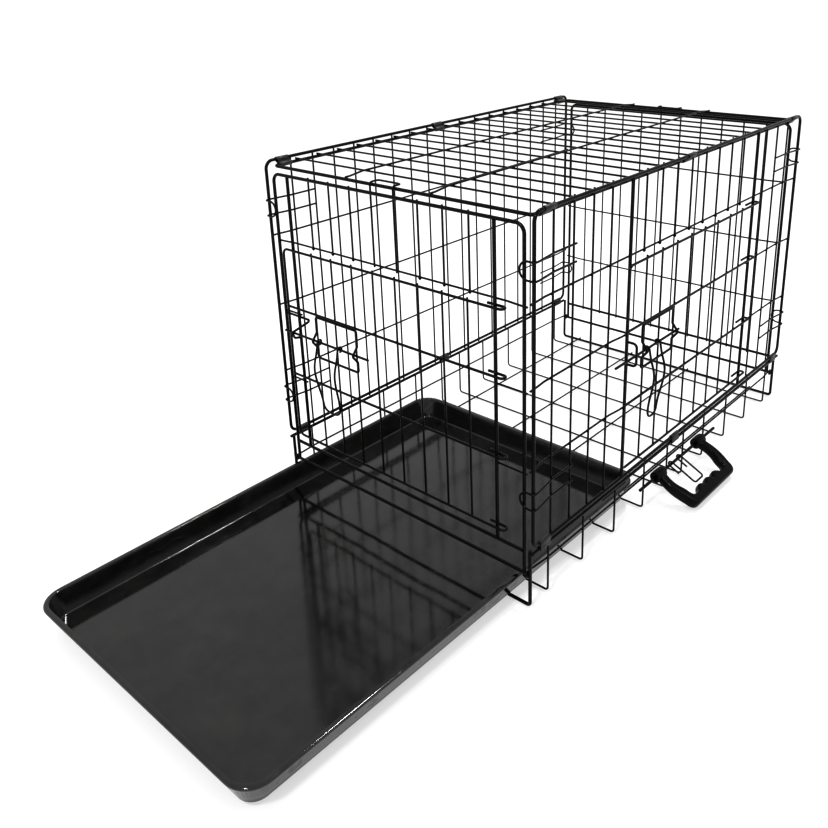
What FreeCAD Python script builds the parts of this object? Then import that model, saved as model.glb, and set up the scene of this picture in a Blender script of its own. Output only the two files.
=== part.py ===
import FreeCAD
import Part
import math
import os

Vector = FreeCAD.Vector

# Driving dimensions in millimetres, with what each one measures
DIMENSIONS = [
    ("crate_length", 762, "between the axes of the front and rear corner posts"),
    ("crate_width", 478, "between the planes of the two side panels"),
    ("frame_wire", 4.8, "diameter of frame, post, rail and pin wire"),
    ("mesh_wire", 2.8, "diameter of the infill wire"),
    ("door_wire", 3.6, "diameter of door edge, latch and bolt wire"),
    ("handle_wire", 3.2, "diameter of the bolt's pull wire"),
    ("weld_sink", 0.1, "depth to which crossing wires are pressed together"),
    ("weld_touch", 0.05, "gap left between wires welded side by side"),
    ("run_gap", 0.3, "running clearance round a hinge wire"),
    ("wire_tip", 2, "free tip of a wire past the axis of the wire it crosses"),
    ("base_rail_height", 84, "axis of the base's hinge rails above the ground"),
    ("side_wire_height", 92, "axis of the side panels' bottom wires"),
    ("side_top_height", 531, "axis of the side panels' top wires"),
    ("side_gap_count", 18, "gaps between posts along a side panel"),
    ("side_level_count", 4, "gaps between rails up a side panel"),
    ("doorway_front_index", 5, "place of the side doorway's front post in the grid"),
    ("doorway_rear_index", 14, "place of the side doorway's hinge post in the grid"),
    ("frame_bend", 12, "corner radius of the panel frames"),
    ("joggle_start", 6, "where a rail leaves the post that it is welded to"),
    ("joggle_end", 30, "where a rail lies flat on the uprights again"),
    ("joggle_bend", 5.6, "bend radius of a rail between those two places"),
    ("end_side_gap", 14.5, "end panels' legs inside the planes of the side panels"),
    ("end_inset", 1, "end panel plane behind the corner posts"),
    ("end_pin_height", 48.5, "axis of the end panels' hinge pins"),
    ("end_bottom_height", 81, "axis of the end panels' bottom wires"),
    ("end_roof_gap", 9, "end panels' top wires below the roof frame, axis to axis"),
    ("end_gap_count", 11, "gaps between uprights across the rear panel"),
    ("head_height", 414, "axis of the rail over the front doorway"),
    ("end_level_count", 3, "gaps between rails up to that rail"),
    ("front_hinge_post", 181, "front doorway's hinge post, right of the middle"),
    ("front_latch_post", 194, "front doorway's latch post, left of the middle"),
    ("door_gap_count", 9, "gaps between uprights across a doorway"),
    ("door_clearance", 0.6, "between a door and the posts that it closes on"),
    ("door_bottom_gap", 19, "door's bottom wire above the panel's"),
    ("door_top_gap", 8, "door's top wire below the rail over the doorway"),
    ("front_rail_rise", 13, "front door's rails above its panel's stub rails"),
    ("side_rail_rise", 9, "side door's rails above its panel's stub rails"),
    ("door_bend", 9, "corner radius at a door's free edge"),
    ("front_door_overlap", 17, "front door's free edge past its latch post"),
    ("side_door_overlap", 9, "side door's free edge past its latch post"),
    ("hairpin_reach", 14, "hinge loop past the post's axis"),
    ("hairpin_return", 15, "hinge loop's free leg before the post's axis"),
    ("bolt_offset", 4.2, "bolt's axis in front of the door's plane"),
    ("bolt_drop", 36, "bolt's axis below the guide's top bar"),
    ("guide_width", 86, "between the two sides of a bolt guide"),
    ("guide_height", 64, "between the bars of a bolt guide"),
    ("guide_bump", 9.5, "depth of the guide's bumps round the bolt"),
    ("guide_bump_half", 12, "half the height of those bumps"),
    ("guide_bump_bend", 2.9, "bend radius of those bumps"),
    ("front_guide_gap", 44, "front latch post to the guide"),
    ("side_guide_gap", 33, "side latch post to the guide"),
    ("front_bolt_reach", 24, "front bolt's tip past the latch post"),
    ("side_bolt_reach", 42, "side bolt's tip past the latch post"),
    ("front_bolt_tail", 26, "front bolt's tail past the guide"),
    ("side_bolt_tail", 12, "side bolt's tail past the guide"),
    ("front_pull_gap", 9, "front pull's first leg from the guide's side"),
    ("side_pull_gap", 7, "side pull's first leg from the guide's side"),
    ("front_pull_width", 44, "between the legs of the front pull"),
    ("side_pull_width", 30, "between the legs of the side pull"),
    ("pull_drop", 108, "bolt's axis to the bottom of the pull"),
    ("catch_rise", 22, "catch wire above the bolt's axis"),
    ("front_catch_bend", 2.5, "bend radius of the front catch"),
    ("side_catch_room", 2.9, "between the side bolt and its catch"),
    ("side_catch_bend", 5.8, "bend radius of the side catch"),
    ("roof_drop", 7, "roof frame below the side panels' top wires"),
    ("roof_end_inset", 9.5, "roof frame's end wires behind the corner posts"),
    ("roof_bend", 8, "corner radius of the roof frame"),
    ("roof_gap_count", 18, "gaps between the roof's cross wires"),
    ("roof_hook_gap", 0.4, "between a roof hook and the roof frame under it"),
    ("roof_hook_reach", 15, "roof hook's length over the roof frame"),
    ("roof_hook_bend", 4, "bend radius of a roof hook"),
    ("corner_hook_inset", 69, "middle of a corner hook from its panel's bottom or top wire"),
    ("corner_hook_gap", 23, "between the two prongs of a corner hook"),
    ("corner_hook_grip", 3.5, "corner hook's reach past the end panel's leg"),
    ("base_cross_inner", 26, "innermost cross wires from the middle"),
    ("base_cross_second", 97, "second cross wires from the middle"),
    ("base_end_gap", 38, "last thin cross wire from the end wire"),
    ("base_gap_count", 3, "gaps from the second to the last thin cross wire"),
    ("base_bend", 5, "corner radius of the base's cross wires"),
    ("floor_outer", 193, "outer floor wires from the middle"),
    ("floor_inner", 64, "inner floor wires from the middle"),
    ("clip_length", 22, "length of a sleeve clip"),
    ("clip_sheet", 0.9, "thickness of a sleeve clip"),
    ("clip_gap", 0.15, "between a sleeve clip and its wires"),
    ("clip_room", 1.0, "between a sleeve clip and the next upright or bend"),
    ("tray_length", 736, "tray along the crate, over its rim"),
    ("tray_width", 446, "tray across the crate, over its rim"),
    ("tray_depth", 34.5, "tray's height over its rim"),
    ("tray_wall", 1.8, "thickness of the tray's walls and floor"),
    ("tray_flare", 8, "tray's wall leans out by this much"),
    ("tray_corner", 34, "tray's corner radius at the rim"),
    ("tray_lip", 4, "width of the tray's rim"),
    ("tray_pull", 447, "how far the tray is pulled out of the crate"),
    ("tray_aside", 5, "how far the tray lies left of the middle, in its side play"),
    ("handle_middle", 8, "carry handle's middle behind the crate's middle"),
    ("handle_rod_length", 242, "length of the carry handle's rod"),
    ("handle_rod_height", 42, "axis of the carry handle's rod"),
    ("handle_collars", 130, "between the middles of the handle's collars"),
    ("collar_length", 24, "length of a collar along the rod"),
    ("collar_diameter", 18, "outside diameter of a collar"),
    ("handle_reach", 72, "rod's axis to the outer edge of the grip"),
    ("grip_depth", 21, "grip's depth, from its outer to its inner edge"),
    ("grip_width", 136, "grip's width over its outer edge"),
    ("handle_thickness", 15, "thickness of the carry handle"),
    ("handle_round", 5, "edge rounding of the carry handle"),
    ("arm_inset", 4.5, "each end of a collar past the handle's arm"),
    ("arm_corner", 0.5, "corner radius where the arms end inside the collars"),
    ("finger_groove_count", 4, "finger grooves along the grip"),
    ("finger_pitch", 19, "between neighbouring finger grooves"),
    ("finger_radius", 11, "radius of a finger groove"),
    ("finger_depth", 5, "depth of a finger groove"),
    ("handle_droop_angle", 26.5, "handle's angle below level where it lies, in degrees"),
    ("clasp_middle", -4.5, "fold clasp's middle along the crate"),
    ("clasp_width", 26, "between the arms of the fold clasp"),
    ("clasp_reach", 45, "rod's axis to the closed end of the clasp"),
    ("clasp_tail", 18, "rod's axis to the clasp's free tails"),
]

doc = FreeCAD.newDocument("pet_crate")
sheet = doc.addObject("Spreadsheet::Sheet", "Size")
for row, (alias, value, meaning) in enumerate(DIMENSIONS, start=1):
    sheet.set(f"A{row}", meaning)
    sheet.set(f"B{row}", str(value))
    sheet.setAlias(f"B{row}", alias)
doc.recompute()


class Length:
    """A length worked out from the sheet: its text binds a property, float() gives its value."""

    def __init__(self, text):
        self.text = text

    def __add__(self, other):
        return Length(f"({self.text} + {text_of(other)})")

    def __radd__(self, other):
        return Length(f"({text_of(other)} + {self.text})")

    def __sub__(self, other):
        return Length(f"({self.text} - {text_of(other)})")

    def __rsub__(self, other):
        return Length(f"({text_of(other)} - {self.text})")

    def __mul__(self, other):
        return Length(f"({self.text} * {text_of(other)})")

    __rmul__ = __mul__

    def __truediv__(self, other):
        return Length(f"({self.text} / {text_of(other)})")

    def __neg__(self):
        return Length(f"(0 - {self.text})")

    def __float__(self):
        return float(sheet.evalExpression(self.text))


def text_of(value):
    return value.text if isinstance(value, Length) else repr(float(value))


def size(alias):
    return Length(f"Size.{alias}")


def count(alias):
    return round(float(size(alias)))


def vector(place):
    return Vector(*(float(value) for value in place))


# Wires


def straight_wire(name, start, axis, length, diameter):
    wire = doc.addObject("Part::Cylinder", name)
    wire.Placement = FreeCAD.Placement(Vector(), FreeCAD.Rotation(Vector(0, 0, 1), axis))
    for letter, place in zip("xyz", start):
        wire.setExpression(f"Placement.Base.{letter}", text_of(place))
    wire.setExpression("Height", text_of(length))
    wire.setExpression("Radius", text_of(diameter / 2))
    return wire


def rounded_edges(corners, bends, closed=False):
    """Straight runs through the corners, joined by tangent arcs of the given radii."""
    found = []
    if closed:
        start = (corners[0] + corners[-1]) / 2
        corners = [start] + corners + [start]
    else:
        start = corners[0]
        bends = bends[1:-1]
    for before, corner, after, bend in zip(corners, corners[1:], corners[2:], bends):
        into = (corner - before).normalize()
        out = (after - corner).normalize()
        turn = into.getAngle(out)
        reach = bend * math.tan(turn / 2)
        first = corner - into * reach
        last = corner + out * reach
        inward = (out - into).normalize()
        middle = corner + inward * (bend / math.cos(turn / 2) - bend)
        if (first - start).Length > 1e-6:
            found.append(Part.LineSegment(start, first).toShape())
        found.append(Part.Arc(first, middle, last).toShape())
        start = last
    if (corners[-1] - start).Length > 1e-6:
        found.append(Part.LineSegment(start, corners[-1]).toShape())
    return found


def bent_wire(name, places, diameter, bend, closed=False):
    """A wire swept through places: each is (x, y, z), or (x, y, z, its own bend radius)."""
    corners = [vector(place[:3]) for place in places]
    bends = [float(place[3] if len(place) > 3 else bend) for place in places]
    edges = rounded_edges(corners, bends, closed)
    path = doc.addObject("Part::Feature", f"{name}_path")
    path.Shape = Part.Wire(edges)
    section = doc.addObject("Part::Circle", f"{name}_section")
    section.setExpression("Radius", text_of(diameter / 2))
    tangent = edges[0].tangentAt(edges[0].FirstParameter)
    facing = FreeCAD.Rotation(Vector(0, 0, 1), tangent)
    section.Placement = FreeCAD.Placement(edges[0].Vertexes[0].Point, facing)
    wire = doc.addObject("Part::Sweep", name)
    wire.Sections = [section]
    wire.Spine = (path, [f"Edge{number}" for number in range(1, len(edges) + 1)])
    wire.Solid = True
    return wire


nodes = []


def node(label, pieces):
    group = doc.addObject("Part::Compound", label)
    group.Label = label
    group.Links = pieces
    nodes.append(group)


# Shared places

frame_wire = size("frame_wire")
mesh_wire = size("mesh_wire")
door_wire = size("door_wire")
sink = size("weld_sink")
tip = size("wire_tip")
half_length = size("crate_length") / 2
half_width = size("crate_width") / 2
half_end = half_width - size("end_side_gap")
end_plane = half_length - size("end_inset")
thick_leg_inset = frame_wire - sink
thick_leg_face = half_width - thick_leg_inset - frame_wire / 2

upright_offset = (frame_wire + mesh_wire) / 2 - sink
rail_offset = upright_offset + mesh_wire - sink
door_offset = (frame_wire + door_wire) / 2 + size("door_clearance")
bolt_plane = door_offset + size("bolt_offset")

side_pitch = size("crate_length") / size("side_gap_count")
side_bottom = size("side_wire_height")
side_top = size("side_top_height")
side_step = (side_top - side_bottom) / size("side_level_count")
end_bottom = size("end_bottom_height")
roof_height = side_top - size("roof_drop")
end_top = roof_height - size("end_roof_gap")
end_step = (size("head_height") - end_bottom) / size("end_level_count")
side_rails = [side_bottom + side_step * level for level in range(1, count("side_level_count"))]
end_rails = [end_bottom + end_step * level for level in range(1, count("end_level_count") + 1)]
upright = Vector(0, 0, 1)
rearward = Vector(1, 0, 0)
leftward = Vector(0, 1, 0)


# Places on each panel: along it, inward from its frame's plane, and up


def right_side(along, inward, height):
    return (along, inward - half_width, height)


def left_side(along, inward, height):
    return (along, half_width - inward, height)


def front_end(along, inward, height):
    return (inward - end_plane, along, height)


def rear_end(along, inward, height):
    return (end_plane - inward, along, height)


def grid(number):
    return side_pitch * number - half_length


def rail(name, place, start, end, height):
    """A rail welded to posts at both ends and to the uprights between them."""
    leave = size("joggle_start")
    settle = size("joggle_end")
    stops = [
        place(start - tip, upright_offset, height),
        place(start + leave, upright_offset, height),
        place(start + settle, rail_offset, height),
        place(end - settle, rail_offset, height),
        place(end - leave, upright_offset, height),
        place(end + tip, upright_offset, height),
    ]
    return bent_wire(name, stops, mesh_wire, size("joggle_bend"))


def panel_upright(name, place, along, low, high):
    """An infill upright on the inner side of the frame, with a tip past each end."""
    foot = place(along, upright_offset, low - tip)
    return straight_wire(name, foot, upright, high - low + tip * 2, mesh_wire)


def panel_post(name, place, along, low, high):
    """A thick post in the frame's plane, butted between two frame wires."""
    foot = low + frame_wire / 2 - sink
    head = high - frame_wire / 2 + sink
    return straight_wire(name, place(along, 0, foot), upright, head - foot, frame_wire)


# Base: cross wires bent up at both ends, floor wires and rails


def cross_wire(name, along, diameter, leg_inset, height):
    reach = half_width - leg_inset
    top = size("base_rail_height") + tip
    stops = [(along, -reach, top), (along, -reach, height), (along, reach, height), (along, reach, top)]
    return bent_wire(name, stops, diameter, size("base_bend"))


def build_base():
    rail_height = size("base_rail_height")
    ends = {"front": -half_length, "rear": half_length}
    node(
        "base_end_wires",
        [
            cross_wire(f"base_{end}_wire", along, frame_wire, thick_leg_inset, frame_wire / 2)
            for end, along in ends.items()
        ],
    )
    second = size("base_cross_second")
    pitch = (half_length - size("base_end_gap") - second) / size("base_gap_count")
    distances = [size("base_cross_inner")]
    distances += [second + pitch * step for step in range(count("base_gap_count") + 1)]
    thin_height = frame_wire - mesh_wire / 2
    thin = []
    for number, distance in enumerate(distances, start=1):
        for end, along in (("front", -distance), ("rear", distance)):
            name = f"base_cross_{end}_{number}"
            thin.append(cross_wire(name, along, mesh_wire, upright_offset, thin_height))
    node("base_cross_wires", thin)
    floor_height = frame_wire + mesh_wire / 2 - sink
    lanes = [-size("floor_outer"), -size("floor_inner"), size("floor_inner"), size("floor_outer")]
    floor = []
    for number, across in enumerate(lanes, start=1):
        start = (-half_length - tip, across, floor_height)
        length = size("crate_length") + tip * 2
        floor.append(straight_wire(f"floor_wire_{number}", start, rearward, length, mesh_wire))
    node("base_floor_wires", floor)
    rails = []
    for side, across in (("right", -half_width), ("left", half_width)):
        start = (-half_length - tip, across, rail_height)
        length = size("crate_length") + tip * 2
        rails.append(straight_wire(f"base_{side}_rail", start, rearward, length, frame_wire))
    node("base_hinge_rails", rails)
    node("end_hinge_rails", [eyed_rail("right", -1), eyed_rail("left", 1)])
    rod_start = (
        size("handle_middle") - size("handle_rod_length") / 2,
        -rod_distance,
        size("handle_rod_height"),
    )
    rod = straight_wire("handle_rod_wire", rod_start, rearward, size("handle_rod_length"), frame_wire)
    node("handle_rod", [rod])


rod_distance = half_width - upright_offset + (mesh_wire + frame_wire) / 2 - sink


def eyed_rail(side, sign):
    """A rail on the inner side of the legs, whose ends curl round the end panels' pins."""
    curl = (frame_wire + mesh_wire) / 2 + size("run_gap")
    run = (half_width - upright_offset - mesh_wire + sink) * sign
    eye = (thick_leg_face - mesh_wire / 2 - size("run_gap")) * sign
    pin = size("end_pin_height")
    level = pin + curl
    last_leg = half_length - size("base_end_gap")

    def end_stops(end):
        return [
            (end * (end_plane - curl), eye, pin),
            (end * (end_plane - curl), eye, pin - curl, curl),
            (end * (end_plane + curl), eye, pin - curl, curl),
            (end * (end_plane + curl), eye, level, curl),
            (end * (end_plane - curl * 2), eye, level),
            (end * last_leg, run, level),
        ]

    stops = end_stops(-1) + end_stops(1)[::-1]
    return bent_wire(f"{side}_hinge_rail", stops, mesh_wire, mesh_wire)


# Side panels


def side_frame(name, place):
    places = [
        place(-half_length, 0, side_bottom),
        place(half_length, 0, side_bottom),
        place(half_length, 0, side_top),
        place(-half_length, 0, side_top),
    ]
    return bent_wire(name, places, frame_wire, size("frame_bend"), closed=True)


def corner_hook(name, side, end, height):
    """A two-pronged hook round a corner post, which holds the end panel's leg from outside."""
    beside_uprights = half_width - upright_offset + mesh_wire - sink
    round_post = half_width + upright_offset
    in_front = half_length + upright_offset
    inner = half_end - size("corner_hook_grip")
    half_gap = size("corner_hook_gap") / 2
    after_upright = half_length - side_pitch + tip
    before_post = half_length - size("joggle_start")

    def prong(level):
        return [
            (end * (half_length - side_pitch * 2 - tip), side * beside_uprights, level),
            (end * after_upright, side * beside_uprights, level),
            (end * before_post, side * round_post, level),
            (end * in_front, side * round_post, level, upright_offset),
            (end * in_front, side * inner, level, half_gap),
        ]

    stops = prong(height - half_gap) + prong(height + half_gap)[::-1]
    return bent_wire(name, stops, mesh_wire, mesh_wire)


def corner_hooks(side_name, side):
    inset = size("corner_hook_inset")
    hooks = []
    for end_name, end in (("front", -1), ("rear", 1)):
        for level, height in (("low", side_bottom + inset), ("high", side_top - inset)):
            name = f"{side_name}_{end_name}_{level}_hook"
            hooks.append(corner_hook(name, side, end, height))
    node(f"{side_name}_corner_hooks", hooks)


def build_left_side():
    node("left_side_frame", [side_frame("left_frame", left_side)])
    uprights = []
    for number in range(1, count("side_gap_count")):
        name = f"left_upright_{number}"
        uprights.append(panel_upright(name, left_side, grid(number), side_bottom, side_top))
    node("left_side_uprights", uprights)
    rails = []
    for level, height in enumerate(side_rails, start=1):
        rails.append(rail(f"left_rail_{level}", left_side, -half_length, half_length, height))
    node("left_side_rails", rails)
    corner_hooks("left", 1)


def build_right_side():
    first = count("doorway_front_index")
    last = count("doorway_rear_index")
    node("right_side_frame", [side_frame("right_frame", right_side)])
    posts = []
    for name, number in (("latch", first), ("hinge", last)):
        posts.append(panel_post(f"side_{name}_post", right_side, grid(number), side_bottom, side_top))
    node("side_doorway_posts", posts)
    uprights = []
    for number in range(1, count("side_gap_count")):
        if number in (first, last):
            continue
        over_door = first < number < last
        low = side_rails[-1] if over_door else side_bottom
        uprights.append(panel_upright(f"right_upright_{number}", right_side, grid(number), low, side_top))
    node("right_side_uprights", uprights)
    rails = [rail("right_head_rail", right_side, -half_length, half_length, side_rails[-1])]
    for level, height in enumerate(side_rails[:-1], start=1):
        rails.append(rail(f"right_front_stub_{level}", right_side, -half_length, grid(first), height))
        rails.append(rail(f"right_rear_stub_{level}", right_side, grid(last), half_length, height))
    node("right_side_rails", rails)
    corner_hooks("right", -1)


# Roof

roof_end = half_length - size("roof_end_inset")
roof_side = half_width - upright_offset - (mesh_wire + frame_wire) / 2 - size("run_gap")


def build_roof():
    outline = [
        (-roof_end, -roof_side, roof_height),
        (roof_end, -roof_side, roof_height),
        (roof_end, roof_side, roof_height),
        (-roof_end, roof_side, roof_height),
    ]
    node("roof_frame", [bent_wire("roof_ring", outline, frame_wire, size("roof_bend"), closed=True)])
    pitch = roof_end * 2 / size("roof_gap_count")
    reach = roof_side + frame_wire / 2
    cross = []
    for number in range(1, count("roof_gap_count")):
        start = (pitch * number - roof_end, -reach, roof_height + upright_offset)
        cross.append(straight_wire(f"roof_cross_{number}", start, leftward, reach * 2, mesh_wire))
    node("roof_cross_wires", cross)
    lanes = []
    for side, across in (("right", -roof_side / 3), ("left", roof_side / 3)):

        def place(along, inward, height, across=across):
            return (along, across, height + inward)

        lanes.append(rail(f"roof_{side}_wire", place, -roof_end, roof_end, roof_height))
    node("roof_long_wires", lanes)


# Sleeve clips that hold two parallel wires together


def obround(first, second, radius):
    """The outline round two circles of one radius, on a plane across the crate."""
    along = (second - first).normalize()
    across = Vector(1, 0, 0).cross(along) * radius
    ahead = along * radius
    edges = [
        Part.LineSegment(first + across, second + across).toShape(),
        Part.Arc(second + across, second + ahead, second - across).toShape(),
        Part.LineSegment(second - across, first - across).toShape(),
        Part.Arc(first - across, first - ahead, first + across).toShape(),
    ]
    return Part.Wire(edges)


def sleeve(name, along, one, other):
    start = along - size("clip_length") / 2
    first = vector((start, *one))
    second = vector((start, *other))
    inside = float(frame_wire / 2 + size("clip_gap"))
    outside = inside + float(size("clip_sheet"))
    sheet_face = doc.addObject("Part::Feature", f"{name}_section")
    outer_face = Part.Face(obround(first, second, outside))
    sheet_face.Shape = outer_face.cut(Part.Face(obround(first, second, inside)))
    clip = doc.addObject("Part::Extrusion", name)
    clip.Base = sheet_face
    clip.DirMode = "Custom"
    clip.Dir = Vector(1, 0, 0)
    clip.Solid = True
    clip.setExpression("LengthFwd", text_of(size("clip_length")))
    return clip


def build_clips():
    half_clip = size("clip_length") / 2
    room = size("clip_room")
    middle = -half_clip - mesh_wire / 2 - room
    low_end = half_length - size("frame_bend") - room - half_clip
    high_end = half_length - side_pitch + mesh_wire / 2 + room / 2 + half_clip
    for side, sign in (("right", -1), ("left", 1)):
        side_plane = half_width * sign
        low = [(side_plane, side_bottom), (side_plane, size("base_rail_height"))]
        high = [(side_plane, side_top), (roof_side * sign, roof_height)]
        for level, wires, end in (("base", low, low_end), ("roof", high, high_end)):
            clips = []
            for where, along in (("front", -end), ("middle", middle), ("rear", end)):
                clips.append(sleeve(f"{level}_{side}_{where}_clip", along, *wires))
            node(f"{level}_{side}_clips", clips)


# End panels


def end_frame(name, place):
    foot = size("end_pin_height") + frame_wire / 2 - sink
    places = [
        place(-half_end, 0, foot),
        place(-half_end, 0, end_top),
        place(half_end, 0, end_top),
        place(half_end, 0, foot),
    ]
    return bent_wire(name, places, frame_wire, size("frame_bend"))


def end_bottom_wire(name, place):
    reach = half_end - frame_wire / 2 + sink
    return straight_wire(name, place(-reach, 0, end_bottom), leftward, reach * 2, frame_wire)


def hinge_pin(name, place):
    reach = thick_leg_face - size("run_gap")
    return straight_wire(name, place(-reach, 0, size("end_pin_height")), leftward, reach * 2, frame_wire)


def roof_hook(name, place, right, left, low):
    """Two springy uprights that rise past the roof frame, bend over it and are one wire."""
    top = roof_height + (frame_wire + mesh_wire) / 2 + size("roof_hook_gap")
    end = upright_offset + size("roof_hook_reach")
    stops = [
        place(right, upright_offset, low - tip),
        place(right, upright_offset, top),
        place(right, end, top),
        place(left, end, top),
        place(left, upright_offset, top),
        place(left, upright_offset, low - tip),
    ]
    return bent_wire(name, stops, mesh_wire, size("roof_hook_bend"))


front_pitch = (size("front_hinge_post") + size("front_latch_post")) / size("door_gap_count")


def build_front_end():
    hinge = -size("front_hinge_post")
    latch = size("front_latch_post")
    node("front_frame", [end_frame("front_frame_wire", front_end)])
    node("front_bottom_wire", [end_bottom_wire("front_sill", front_end)])
    node("front_hinge_pin", [hinge_pin("front_pin", front_end)])
    posts = []
    for name, along in (("hinge", hinge), ("latch", latch)):
        posts.append(panel_post(f"front_{name}_post", front_end, along, end_bottom, end_top))
    node("front_doorway_posts", posts)
    middle = count("door_gap_count") // 2
    uprights = []
    for number in range(1, count("door_gap_count")):
        if number in (middle, middle + 1):
            continue
        along = hinge + front_pitch * number
        uprights.append(panel_upright(f"front_upright_{number}", front_end, along, end_rails[-1], end_top))
    node("front_uprights", uprights)
    hook_right = hinge + front_pitch * middle
    hook = roof_hook("front_hook", front_end, hook_right, hook_right + front_pitch, end_rails[-1])
    node("front_roof_hook", [hook])
    rails = [rail("front_head_rail", front_end, -half_end, half_end, end_rails[-1])]
    for level, height in enumerate(end_rails[:-1], start=1):
        for name, start, end in (("right", -half_end, hinge), ("left", latch, half_end)):
            foot = front_end(start - tip, upright_offset, height)
            length = end - start + tip * 2
            rails.append(straight_wire(f"front_{name}_stub_{level}", foot, leftward, length, mesh_wire))
    node("front_rails", rails)


def build_rear_end():
    pitch = half_end * 2 / size("end_gap_count")
    middle = count("end_gap_count") // 2
    node("rear_frame", [end_frame("rear_frame_wire", rear_end)])
    node("rear_bottom_wire", [end_bottom_wire("rear_sill", rear_end)])
    node("rear_hinge_pin", [hinge_pin("rear_pin", rear_end)])
    uprights = []
    for number in range(1, count("end_gap_count")):
        if number in (middle, middle + 1):
            continue
        along = pitch * number - half_end
        uprights.append(panel_upright(f"rear_upright_{number}", rear_end, along, end_bottom, end_top))
    node("rear_uprights", uprights)
    hook_right = pitch * middle - half_end
    node("rear_roof_hook", [roof_hook("rear_hook", rear_end, hook_right, hook_right + pitch, end_bottom)])
    rails = []
    for level, height in enumerate(end_rails, start=1):
        rails.append(rail(f"rear_rail_{level}", rear_end, -half_end, half_end, height))
    node("rear_rails", rails)


# Doors. Places on a door: along it from its hinge post, out from the panel's plane, and up


def front_doorway(along, out, height):
    return front_end(along - size("front_hinge_post"), -out, height)


def side_doorway(along, out, height):
    return right_side(grid(count("doorway_rear_index")) - along, -out, height)


def hairpin(place, height):
    """The loop round the hinge post, from the free leg to the door's plane."""
    reach = -size("hairpin_reach")
    return [
        place(size("hairpin_return"), -door_offset, height),
        (*place(reach, -door_offset, height), door_offset),
        (*place(reach, door_offset, height), door_offset),
    ]


def build_door(name, place, width, sill, stub_rails, head):
    bottom = sill + size("door_bottom_gap")
    top = head - size("door_top_gap")
    edge = width + size(f"{name}_door_overlap")
    free_side = [place(edge, door_offset, top), place(edge, door_offset, bottom)]
    stops = hairpin(place, top) + free_side + hairpin(place, bottom)[::-1]
    node(f"{name}_door_edge", [bent_wire(f"{name}_door_edge_wire", stops, door_wire, size("door_bend"))])
    rails = []
    for level, stub in enumerate(stub_rails, start=1):
        height = stub + size(f"{name}_rail_rise")
        stops = hairpin(place, height) + [place(edge - door_wire / 2 + sink, door_offset, height)]
        rails.append(bent_wire(f"{name}_door_rail_{level}", stops, door_wire, door_wire))
    node(f"{name}_door_rails", rails)
    pitch = width / size("door_gap_count")
    behind = door_offset - (door_wire + mesh_wire) / 2 + sink
    uprights = []
    for number in range(1, count("door_gap_count")):
        foot = place(pitch * number, behind, bottom - tip)
        length = top - bottom + tip * 2
        uprights.append(straight_wire(f"{name}_door_upright_{number}", foot, upright, length, mesh_wire))
    node(f"{name}_door_uprights", uprights)


def build_latch(name, place, width, stub_rail, forward):
    """A bolt guide with bumps round the bolt, the bolt, and the pull that hangs from it."""
    guide_top = stub_rail + size(f"{name}_rail_rise") - door_wire - size("weld_touch")
    guide_bottom = guide_top - size("guide_height")
    bolt_height = guide_top - size("bolt_drop")
    near = width - size(f"{name}_guide_gap")
    far = near - size("guide_width")
    bump = size("guide_bump")
    half_bump = size("guide_bump_half")

    def guide_side(along):
        return [
            (*place(along, door_offset, guide_top), door_wire),
            place(along, door_offset, bolt_height + half_bump),
            place(along, door_offset + bump, bolt_height),
            place(along, door_offset, bolt_height - half_bump),
            (*place(along, door_offset, guide_bottom), door_wire),
        ]

    stops = guide_side(near) + guide_side(far)[::-1]
    guide = bent_wire(f"{name}_guide_wire", stops, door_wire, size("guide_bump_bend"), closed=True)
    node(f"{name}_bolt_guide", [guide])

    tail = far - size(f"{name}_bolt_tail")
    length = width + size(f"{name}_bolt_reach") - tail
    foot = place(tail, bolt_plane, bolt_height)
    node(f"{name}_bolt", [straight_wire(f"{name}_bolt_wire", foot, forward, length, door_wire)])

    pull_wire = size("handle_wire")
    curl = (door_wire + pull_wire) / 2 + size("run_gap")
    first = near - size(f"{name}_pull_gap")
    second = first - size(f"{name}_pull_width")
    floor = bolt_height - size("pull_drop")
    bottom_bend = size(f"{name}_pull_width") / 2

    def eye(along):
        return [
            place(along, bolt_plane, bolt_height - curl),
            (*place(along, bolt_plane - curl, bolt_height - curl), curl),
            (*place(along, bolt_plane - curl, bolt_height + curl), curl),
            (*place(along, bolt_plane + curl, bolt_height + curl), curl),
            (*place(along, bolt_plane + curl, floor), bottom_bend),
        ]

    stops = eye(first) + eye(second)[::-1]
    node(f"{name}_bolt_pull", [bent_wire(f"{name}_pull_wire", stops, pull_wire, curl)])
    return bolt_height


def build_front_catch(width, bolt_height):
    """A hook that comes round the latch post and cradles the bolt from outside and below."""
    behind = -(frame_wire + door_wire) / 2 + sink
    rise = bolt_height + size("catch_rise")
    leg = half_end + size("front_hinge_post")
    clear = door_wire + size("door_clearance") + size("run_gap")
    stops = [
        front_doorway(leg + frame_wire / 2, behind, rise),
        front_doorway(width - front_pitch / 2, behind, rise),
        front_doorway(width + door_wire, bolt_plane + clear, bolt_height + door_wire / 2),
        front_doorway(width, bolt_plane + clear - door_wire / 2, bolt_height - clear - door_wire / 2),
        front_doorway(width - door_wire, bolt_plane - door_wire, bolt_height - clear - door_wire / 2),
    ]
    node("front_door_catch", [bent_wire("front_catch_wire", stops, door_wire, size("front_catch_bend"))])


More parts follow.
